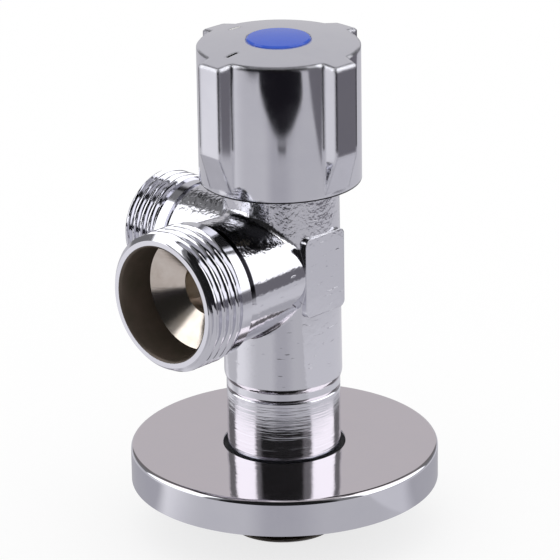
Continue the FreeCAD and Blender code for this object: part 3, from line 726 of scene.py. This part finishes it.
@dataclass
class ValveBody:
    """The forging: column, stubs and pad, with real threads on its three ends."""

    finishes: Finishes
    stubs: tuple[Stub, ...] = (
        Stub("large_outlet_thread", "outlet_large", Outlet.LARGE, 31.8, 12.1005, 11.2, 10.7, 13.5),
        Stub("small_outlet_thread", "outlet_small", Outlet.SMALL, 32.4, 9.9975, 8.1, 7.6, 10.8))
    outlet_z: float = 54.0
    stub_from: float = 11.3       # the stubs stand free beyond this distance from the axis
    thread_len: float = 8.2
    collar_len: float = 2.4
    collar_drop: float = 0.35
    groove_len: float = 0.8
    inlet_len: float = 9.3
    inlet_sleeve_r: float = 8.6
    inlet_chamfer: float = 0.35
    bore_r: float = 10.2          # the inlet's bore and the cavity lie inside this radius
    column_r: float = 10.95
    column_top: float = 72.0
    column_foot_r: float = 11.2
    band_top: float = 31.3
    band_low: float = 29.12       # top of the neck's fine line
    foot_top: float = 32.3        # where the rounding of the column's foot starts
    foot_r: float = 2.65          # and its radius
    foot_rows: int = 9            # rows of corners that carry it
    foot_spread: float = 0.6      # they stand over this share of the radius
    foot_cut: float = 0.95        # the rounding ends at this share of the radius
    foot_inner_r: float = 9.5     # nothing inside this radius is moved
    neck_r: float = 10.8
    neck_low: float = 10.5
    neck_top: float = 28.7
    neck_margin: float = 1.0      # the neck's finish ends this much lower
    stub_inset: float = 0.15
    mouth_wall: float = 0.3       # a mouth's faces lie at most this far inside its radius
    mouth_depth: float = 7.7
    relief: float = 1.02          # how far the plain blank is sunk under the cut thread
    end_rim: float = 1.15         # ring of the end face that is sunk with it
    end_sink: float = 0.03        # and how far the end face goes behind the thread's own
    crease: float = 32.0          # a round surface's own shading reaches this many degrees
    soft_crease: float = 50.0     # edges sharper than this stay sharp

    def crest_r(self, mount: str) -> float:
        """Radius over a thread's crests, as the record's mount states it."""
        return next(m["dims"]["r_mm"] for m in frame["record"]["mounts"] if m["name"] == mount)

    def ends(self) -> list[PipeThread]:
        """List the three threads.

        Returns:
            The threads, none of them built yet.
        """
        outlet = (0.0, 0.0, self.outlet_z)
        threads = [PipeThread(stub.thread, stub.end, self.crest_r(stub.mount), stub.reach,
                              self.thread_len, stub.sleeve_r, outlet) for stub in self.stubs]
        threads.append(PipeThread(
            "inlet_thread", Outlet.INLET, self.crest_r("inlet_thread"), 0.0, self.inlet_len,
            self.inlet_sleeve_r, (0.0, 0.0, 0.0), chamfer=self.inlet_chamfer))
        return threads

    def round_surfaces(self) -> list[RoundSurface]:
        """List the forging's large cones and cylinders.

        Returns:
            The surfaces, of column, neck, stubs and collars.
        """
        foot = Vector((0, 0, 0))
        up = Vector((0, 0, 1))
        outlet = Vector((0, 0, self.outlet_z))
        surfaces = [
            RoundSurface(foot, up, self.band_top, self.column_foot_r,
                         self.column_top, self.column_r),
            RoundSurface(foot, up, self.neck_low, self.neck_r, self.neck_top, self.neck_r),
        ]
        for stub in self.stubs:
            axis = Vector(stub.end.value)
            root_r = min(stub.stub_r, self.column_r - self.stub_inset)
            collar_r = self.crest_r(stub.mount) - self.collar_drop
            thread_at = stub.reach - self.thread_len
            collar_at = thread_at - self.collar_len
            surfaces += [
                RoundSurface(outlet, axis, 0.0, root_r, collar_at - self.groove_len, stub.stub_r),
                RoundSurface(outlet, axis, collar_at, collar_r, thread_at, collar_r)]
        return surfaces

    def body_copy(self) -> bpy.types.Object:
        """Copy the forging with its thread blanks sunk, and give each region its finish.

        Returns:
            The piece that stands for the forging.
        """
        source = frame["nodes"]["valve_body"]
        mesh = source.data.copy()
        mesh.name = "forged_body"
        shape = bmesh.new()
        shape.from_mesh(mesh)
        bmesh.ops.remove_doubles(shape, verts=shape.verts, dist=1e-7)
        self.soften_foot(shape)
        for thread in self.ends():
            self.sink_blank(shape, thread)
        shape.normal_update()
        self.assign_regions(shape)
        normals = self.shading_normals(shape)
        for face in shape.faces:
            face.smooth = True
        for edge in shape.edges:
            edge.smooth = True
        look = self.finishes
        coat(mesh, look.forged_chrome, look.turned_chrome, look.mouth_brass,
             look.drilled_brass, look.neck_chrome)
        shape.to_mesh(mesh)
        shape.free()
        mesh.normals_split_custom_set(normals)
        piece = place_piece("forged_body", mesh, "valve")
        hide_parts("valve_body")
        return piece

    def soften_foot(self, shape: bmesh.types.BMesh) -> None:
        """Round the column's foot as wide as the buff left it, down onto the band.

        Args:
            shape: the forging's mesh.
        """
        for row in range(self.foot_rows):
            height = self.foot_top - self.foot_spread * self.foot_r * row / self.foot_rows
            bmesh.ops.bisect_plane(
                shape, geom=shape.verts[:] + shape.edges[:] + shape.faces[:], dist=1e-7,
                plane_co=(0, 0, height * MM), plane_no=(0, 0, 1))
        slope = (self.column_r - self.column_foot_r) / (self.column_top - self.band_top)
        for vert in shape.verts:
            height = vert.co.z / MM
            out = math.hypot(vert.co.x, vert.co.y) / MM
            if not self.band_low < height < self.foot_top or out < self.foot_inner_r:
                continue
            below = min(self.foot_top - height, self.foot_cut * self.foot_r)
            column_r = self.column_foot_r + slope * (height - self.band_top)
            inset = self.foot_r - math.sqrt(self.foot_r ** 2 - below ** 2)
            share = max(self.neck_r, column_r - inset) / out
            vert.co.x *= share
            vert.co.y *= share
        bmesh.ops.remove_doubles(shape, verts=shape.verts, dist=1e-6)
        bmesh.ops.dissolve_degenerate(shape, edges=shape.edges, dist=1e-6)

    def shading_normals(self, shape: bmesh.types.BMesh) -> list[Vector]:
        """Work out a shading normal for each corner of each face.

        Args:
            shape: the forging's mesh.

        Returns:
            One unit vector per corner, in the mesh's order.
        """
        surfaces = self.round_surfaces()
        limit = math.cos(math.radians(self.crease))
        soft = math.cos(math.radians(self.soft_crease))
        known: dict[int, list[Vector]] = {}
        for vert in shape.verts:
            place = vert.co / MM
            found = [surface.normal(place) for surface in surfaces]
            known[vert.index] = [normal for normal in found if normal is not None]
        normals = []
        for face in shape.faces:
            for loop in face.loops:
                fitting = [n for n in known[loop.vert.index] if n.dot(face.normal) > limit]
                if fitting:
                    normals.append(max(fitting, key=face.normal.dot))
                    continue
                total = Vector((0, 0, 0))
                for other in loop.vert.link_loops:
                    if other.face.normal.dot(face.normal) > soft:
                        total += other.face.normal * other.calc_angle()
                normals.append(total.normalized() if total.length > 0 else face.normal.copy())
        return normals

    def sink_blank(self, shape: bmesh.types.BMesh, thread: PipeThread) -> None:
        """Move the plain blank's skin under the thread that is cut over it.

        Args:
            shape: the forging's mesh.
            thread: the thread.
        """
        axis = Vector(thread.end.value)
        base = Vector(thread.origin) * MM
        crest = thread.crest_r * MM
        root = crest - self.relief * MM
        for vert in shape.verts:
            along = (vert.co - base).dot(axis)
            back = thread.face * MM - along
            if not -1e-6 < back < (thread.length + 0.01) * MM:
                continue
            flat = vert.co - base - axis * along
            on_blank = abs(flat.length - crest) < 2e-5
            on_chamfer = back < 1e-5 and flat.length > crest - self.end_rim * MM
            if back < 1e-5:
                vert.co -= axis * (self.end_sink * MM)
            if on_blank:
                vert.co -= flat.normalized() * (flat.length - root)
            elif on_chamfer:
                vert.co -= flat.normalized() * max(0.0, flat.length - root)

    def assign_regions(self, shape: bmesh.types.BMesh) -> None:
        """Mark each face of the forging by its finish.

        Args:
            shape: the forging's mesh.
        """
        outlet = Vector((0, 0, self.outlet_z))
        for face in shape.faces:
            middle = face.calc_center_median() / MM
            if middle.z >= self.band_top - self.neck_margin:
                region = Region.FORGED
            elif middle.z < self.neck_top - self.neck_margin and abs(face.normal.z) < 0.3:
                region = Region.NECK
            else:
                region = Region.TURNED
            flat = Vector((middle.x, middle.y, 0))
            if flat.length < self.bore_r and flat.dot(face.normal) < -1e-3 * flat.length:
                region = Region.DRILLED
            for stub in self.stubs:
                axis = Vector(stub.end.value)
                along = (middle - outlet).dot(axis)
                out = middle - outlet - axis * along
                if along < self.stub_from or out.length > stub.outer_r:
                    continue
                groove_at = stub.reach - self.thread_len - self.collar_len - self.groove_len
                region = Region.TURNED if along > groove_at - 0.1 else Region.FORGED
                inward = out.dot(face.normal) < -1e-3 * out.length
                if inward or out.length < stub.mouth_r - self.mouth_wall:
                    in_mouth = along > stub.reach - self.mouth_depth + 0.05
                    region = Region.MOUTH if in_mouth else Region.DRILLED
            face.material_index = region

    def build(self) -> None:
        """Build the forging and its threads."""
        self.body_copy()
        for thread in self.ends():
            # The inlet thread is coloured nearly black as painted shade under the flange.
            hidden = thread.end is Outlet.INLET
            thread.build(self.finishes.inlet_brass_painted_shade if hidden else self.finishes.thread_chrome)


@dataclass
class WallFlange:
    """The pressed cover plate: a shallow cup of thin sheet with a tight front edge."""

    finishes: Finishes
    hole_r: float = 11.6
    hole_edge_r: float = 0.3
    outer_r: float = 29.3
    edge_r: float = 0.95
    top: float = 17.2
    depth: float = 7.0
    sheet: float = 0.9
    inner_edge: float = 0.1       # bevel inside the rim
    hole_steps: int = 6
    edge_steps: int = 12
    face_from: float = 0.7        # parts that point up more than this get the warmer painted reflection tint
    steps: int = 180

    def profile(self) -> list[tuple[float, float]]:
        """Draw the section through the sheet, going once round it.

        Returns:
            Radius and height of each point, in millimetres.
        """
        points = []
        for i in range(self.hole_steps + 1):
            turn = math.radians(180.0 - 90.0 * i / self.hole_steps)
            points.append((self.hole_r + self.hole_edge_r * (1.0 + math.cos(turn)),
                           self.top - self.hole_edge_r * (1.0 - math.sin(turn))))
        for part in (0.25, 0.5, 0.75):
            points.append((self.hole_r + (self.outer_r - self.hole_r) * part, self.top))
        for i in range(self.edge_steps + 1):
            turn = math.radians(90.0 - 90.0 * i / self.edge_steps)
            points.append((self.outer_r - self.edge_r * (1.0 - math.cos(turn)),
                           self.top - self.edge_r * (1.0 - math.sin(turn))))
        low = self.top - self.depth
        under = self.top - self.sheet
        inner_r = self.outer_r - self.sheet
        points += [(self.outer_r, low), (inner_r, low), (inner_r, under - self.inner_edge),
                   (inner_r - self.inner_edge, under), (self.hole_r, under)]
        return points

    def build(self) -> None:
        """Turn the section round the valve's axis."""
        sections = []
        for step in range(self.steps):
            turn = 2 * math.pi * step / self.steps
            sections.append([Vector((r * math.cos(turn), r * math.sin(turn), z))
                             for r, z in self.profile()])
        mesh = skinned_ring("flange_shell", sections)
        coat(mesh, self.finishes.flange_chrome, self.finishes.flange_top_painted_reflection)
        for face in mesh.polygons:
            face.material_index = 1 if face.normal.z > self.face_from else 0
        piece = place_piece("flange_shell", mesh, "rosette")
        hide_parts("wall_flange")


@dataclass
class Handle:
    """The lobed cap: plated outside, bare inside, coloured nearly black there as painted shade."""

    finishes: Finishes
    inner_r: float = 13.7         # nothing inside this radius is plated
    inner_top: float = 95.0
    lobe_end: float = 79.0        # below this height the lobes slant back to the round
    slant: tuple[float, float] = (-0.45, -0.25)       # how much those faces point up
    crown_z: float = 97.5
    crown_r: float = 100.0
    mark_in: float = 6.6          # the two engraved index marks lie between these radii
    mark_out: float = 13.4
    mark_low: float = 1.5         # and between these depths under the crown
    mark_high: float = 0.06

    def face_kind(self, middle: Vector, rise: float) -> CapFace:
        """Tell which finish a face has.

        Args:
            middle: the face's middle, in millimetres.
            rise: how much the face points up.

        Returns:
            The kind of face.
        """
        out = math.hypot(middle.x, middle.y)
        crown = self.crown_z - self.crown_r + math.sqrt(self.crown_r ** 2 - out ** 2)
        under = crown - middle.z
        if self.mark_in < out < self.mark_out and self.mark_high < under < self.mark_low:
            return CapFace.BLACK_MARK if middle.y < middle.x else CapFace.WHITE_MARK
        if out < self.inner_r and middle.z < self.inner_top:
            return CapFace.BARE
        # Slanted lobe ends take the rougher plate whose darker colour is painted shade.
        slanted = self.slant[0] < rise < self.slant[1] and middle.z < self.lobe_end
        return CapFace.SATIN_SHADED if slanted else CapFace.PLATED

    def build(self) -> None:
        """Copy the cap and part its faces by their finish."""
        mesh = frame["nodes"]["handle"].data.copy()
        mesh.name = "handle_shell"
        shape = bmesh.new()
        shape.from_mesh(mesh)
        for face in shape.faces:
            middle = face.calc_center_median() / MM
            face.material_index = self.face_kind(middle, face.normal.z)
        look = self.finishes
        coat(mesh, look.handle_chrome, look.bare_zinc_painted_dark, look.satin_shaded_chrome,
             look.black_paint, look.white_paint)
        shape.to_mesh(mesh)
        shape.free()
        piece = place_piece("handle_shell", mesh, "handle_and_stem")
        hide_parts("handle")


@dataclass
class Trim:
    """Everything that keeps the shape it has in the frame."""

    finishes: Finishes

    def build(self) -> None:
        """Dress each carried-over node."""
        look = self.finishes
        for material, node_names in (
                (look.blue_abs, ("index_button",)),
                (look.ball_chrome, ("ball",)),
                (look.ptfe, ("lower_seat", "upper_seat", "cavity_liner", "thrust_washer")),
                (look.epdm, ("flange_grip_ring", "seat_o_ring", "bonnet_o_ring",
                             "stem_o_ring_lower", "stem_o_ring_upper")),
                (look.turned_brass, ("bonnet", "stem")),
                (look.acetal, ("stop_ring", "handle_insert")),
                (look.stainless, ("retaining_clip", "screw_washer", "handle_screw"))):
            for node_name in node_names:
                dress(node_name, material)


@dataclass(frozen=True)
class Panel:
    """A wall, a gap or a light bank, as metal sees it. Angles in degrees."""

    azimuth: tuple[float, float]        # from the camera's side, to its right
    elevation: tuple[float, float]
    level: float
    softness: float = 4.0

    def light(self) -> Colour:
        """Brightness of the panel, slightly cool."""
        return (self.level * 0.985, self.level * 0.985, self.level, 1.0)


@dataclass
class Studio:
    """Floor, room and camera."""

    camera_azimuth: float = 44.0
    camera_distance: float = 700.0      # along the floor, from the valve's axis
    camera_height: float = 316.6
    aim_height: float = 49.8
    lens_mm: float = 256.0
    roll_deg: float = -0.845
    side_shift: float = -0.0036         # the picture is cut this share of its width off centre
    floor_half: float = 6000.0
    floor_glow: float = 0.75            # share of its own white in what the camera sees
    table_tone: str = "#A1A0A9"
    table_edge: float = 257.0           # the table ends this far in front of the valve
    table_turn: float = 3.8             # its edge is turned this much to the right
    table_corner_turn: float = -35.5    # its left corner is cut off across this direction
    table_corner: float = 309.0         # and this far out
    sheet_skew: float = 0.36            # slant of the pale sheet's edge
    room_tone: str = "#B6B5BC"

    def level_way(self, azimuth: float = 0.0) -> Vector:
        """Level direction from the valve, in degrees to the right of the camera's own."""
        turn = math.radians(self.camera_azimuth + azimuth)
        return Vector((math.sin(turn), -math.cos(turn), 0.0))

    def bearing(self, tree: Tree, place: Socket) -> tuple[Socket, Socket, Socket]:
        """Measure a place or a direction from the camera's side.

        Args:
            tree: the node tree.
            place: the vector.

        Returns:
            How far it lies towards the camera, how far to the right, and its azimuth in degrees.
        """
        ahead, side = (
            add_node(tree, "VectorMath", {"operation": "DOT_PRODUCT"},
                     {0: place, 1: tuple(way)}).outputs["Value"]
            for way in (self.level_way(), self.level_way(90.0)))
        turn = add_node(tree, "Math", {"operation": "ARCTAN2"}, {0: side, 1: ahead})
        azimuth = add_node(tree, "Math", {"operation": "DEGREES"}, {0: turn.outputs[0]})
        return ahead, side, azimuth.outputs[0]

    def build_camera(self) -> None:
        """Place the camera where the photograph was taken from."""
        data = bpy.data.cameras.new("photo_camera")
        data.sensor_fit = "HORIZONTAL"
        data.sensor_width = 36.0
        data.lens = self.lens_mm
        data.shift_x = self.side_shift
        data.clip_start = 0.01
        data.clip_end = 20.0
        camera = bpy.data.objects.new("photo_camera", data)
        place = self.level_way() * self.camera_distance
        place.z = self.camera_height
        aim = Vector((0, 0, self.aim_height))
        look = (aim - place).normalized()
        turn = look.to_track_quat("-Z", "Y").to_matrix().to_4x4()
        roll = Matrix.Rotation(math.radians(self.roll_deg), 4, "Z")
        camera.matrix_world = Matrix.Translation(place * MM) @ turn @ roll
        bpy.context.collection.objects.link(camera)
        bpy.context.scene.camera = camera

    def table_colour(self, tree: Tree) -> Socket:
        """Tones of the table and of what lies on it, as metal sees them.

        Args:
            tree: the floor's node tree.

        Returns:
            A colour socket.
        """
        place = position_mm(tree)
        ahead, side, azimuth = self.bearing(tree, place)
        far = add_node(tree, "VectorMath", {"operation": "LENGTH"}, {0: place}).outputs["Value"]
        corner, front, sheet = (
            add_node(tree, "VectorMath", {"operation": "DOT_PRODUCT"},
                     {0: place, 1: tuple(way)}).outputs["Value"]
            for way in (self.level_way(self.table_corner_turn), self.level_way(self.table_turn),
                        self.level_way(90.0) - self.level_way() * self.sheet_skew))
        corner_at, edge = self.table_corner, self.table_edge
        colour = add_node(tree, "RGB").outputs[0]
        colour.default_value = mirrored(self.table_tone)
        zones = [
            # The light bank on the left brightens the table towards it, and the right one less.
            ("#B4B3BB", [(azimuth, -8.0, -24.0), (azimuth, -165.0, -118.0)]),
            ("#DAD9E1", [(azimuth, -46.0, -86.0), (azimuth, -165.0, -118.0)]),
            ("#AEADB5", [(azimuth, 2.0, 24.0)]),
            ("#B4B3BC", [(azimuth, 50.0, 76.0)]),
            # A pale sheet lies at the right.
            ("#BEBDC6", [(sheet, 37.5, 40.5), (far, 150.0, 105.0)]),
            # The valve's own soft shadow lies behind it.
            ("#9F9EA7", [(ahead, 16.0, 4.0), (far, 72.0, 60.0)]),
            ("#B2B1B9", [(ahead, -8.0, -18.0), (side, -60.0, -74.0)]),
            # Beyond the table: darker floor at the right and in front.
            ("#66646C", [(side, 197.0, 203.0)]),
            ("#1A191F", [(corner, corner_at - 1.0, corner_at + 1.5), (side, 150.0, 130.0)]),
            ("#141318", [(front, edge - 1.0, edge + 2.5),
                         (side, -144.0, -137.0), (side, 162.0, 154.0)]),
            # A small dark thing lies just inside the table's edge.
            ("#1A191F", [(front, edge - 10.5, edge - 8.5), (front, edge - 2.8, edge - 4.8),
                         (side, -22.0, -6.0), (side, 44.0, 28.0)]),
        ]
        for tone, ramps in zones:
            mixed = add_node(tree, "MixRGB", inputs={
                "Fac": overlap(tree, ramps), "Color1": colour, "Color2": mirrored(tone)})
            colour = mixed.outputs["Color"]
        return colour

    def build_floor(self) -> None:
        """Lay a pale floor that takes the valve's shadow. Metal sees the table instead."""
        material, tree = new_material("pale_floor")
        seen = add_node(tree, "Emission", inputs={
            "Color": self.table_colour(tree), "Strength": 1.0})
        pale = add_node(tree, "BsdfDiffuse", inputs={"Color": linear("#FFFFFF")})
        path = add_node(tree, "LightPath")
        glow = add_node(tree, "Emission", inputs={"Color": linear("#FFFFFF"), "Strength": 1.0})
        share = add_node(tree, "Math", {"operation": "MULTIPLY"},
                         {0: path.outputs["Is Camera Ray"], 1: self.floor_glow})
        faint = add_node(tree, "MixShader", inputs={
            0: share.outputs[0], 1: pale.outputs[0], 2: glow.outputs[0]})
        shader = add_node(tree, "MixShader", inputs={
            0: path.outputs["Is Glossy Ray"], 1: faint.outputs[0], 2: seen.outputs[0]})
        finish_material(tree, shader)
        size = self.floor_half * MM
        mesh = bpy.data.meshes.new("floor")
        corners = [(-size, -size, 0), (size, -size, 0), (size, size, 0), (-size, size, 0)]
        mesh.from_pydata(corners, [], [(0, 1, 2, 3)])
        coat(mesh, material)
        floor = bpy.data.objects.new("floor", mesh)
        bpy.context.collection.objects.link(floor)

    def build_world(self) -> None:
        """Light the room softly. Metal sees its walls, dark gaps and light banks."""
        world = bpy.data.worlds.new("studio")
        bpy.context.scene.world = world
        world.use_nodes = True
        tree = world.node_tree
        tree.nodes.clear()
        direction = add_node(tree, "TexCoord").outputs["Generated"]
        azimuth = self.bearing(tree, direction)[2]
        height = add_node(tree, "SeparateXYZ", inputs={0: direction}).outputs["Z"]
        lift = add_node(tree, "Math", {"operation": "ARCSINE"}, {0: height})
        elevation = add_node(tree, "Math", {"operation": "DEGREES"},
                             {0: lift.outputs[0]}).outputs[0]
        colour = add_node(tree, "RGB").outputs[0]
        colour.default_value = mirrored(self.room_tone)
        for panel in self.panels():
            spread = panel.softness / 2
            ramps = []
            for angle, (low, high) in ((azimuth, panel.azimuth), (elevation, panel.elevation)):
                ramps += [(angle, low - spread, low + spread),
                          (angle, high + spread, high - spread)]
            mixed = add_node(tree, "MixRGB", inputs={
                "Fac": overlap(tree, ramps), "Color1": colour, "Color2": panel.light()})
            colour = mixed.outputs["Color"]
        seen = add_node(tree, "Background", inputs={"Color": colour, "Strength": 1.0})
        soft = add_node(tree, "Background", inputs={
            "Color": linear("#FFFFFF"), "Strength": 1.0})
        path = add_node(tree, "LightPath")
        shader = add_node(tree, "MixShader", inputs={
            0: path.outputs["Is Glossy Ray"], 1: soft.outputs[0], 2: seen.outputs[0]})
        add_node(tree, "OutputWorld", inputs={"Surface": shader.outputs[0]})

    def panels(self) -> list[Panel]:
        """List what stands round the table.

        Returns:
            The panels, where a later one hides an earlier one.
        """
        dark_wall = 0.012
        grey_wall = 0.2
        bank = 1.7
        return [
            Panel((-220.0, 220.0), (38.0, 68.0), dark_wall, 6.0),     # dark ceiling's edge
            Panel((-152.0, -115.0), (1.0, 54.0), grey_wall, 6.0),     # grey wall, far left
            Panel((119.0, 152.0), (1.0, 64.0), grey_wall, 6.0),       # and far right
            Panel((-66.0, 62.0), (-8.0, 80.0), grey_wall, 4.0),       # round the dark doorway
            Panel((-49.0, 38.5), (-8.0, 80.0), dark_wall, 4.0),       # behind the camera
            Panel((-118.0, -61.0), (1.0, 54.0), bank, 4.0),           # bank on the left
            Panel((58.0, 122.0), (1.0, 64.0), bank, 4.0),             # bank on the right
        ]

    def build(self) -> None:
        """Build the whole studio."""
        bpy.context.scene.view_settings.view_transform = "Standard"
        self.build_camera()
        self.build_floor()
        self.build_world()


def main() -> None:
    """Build the valve's looks in order."""
    logging.basicConfig(level=logging.INFO, format="%(name)s: %(message)s")
    finishes = Finishes()
    ValveBody(finishes).build()
    Handle(finishes).build()
    WallFlange(finishes).build()
    Trim(finishes).build()
    Studio().build()


if __name__ == "__main__":
    main()
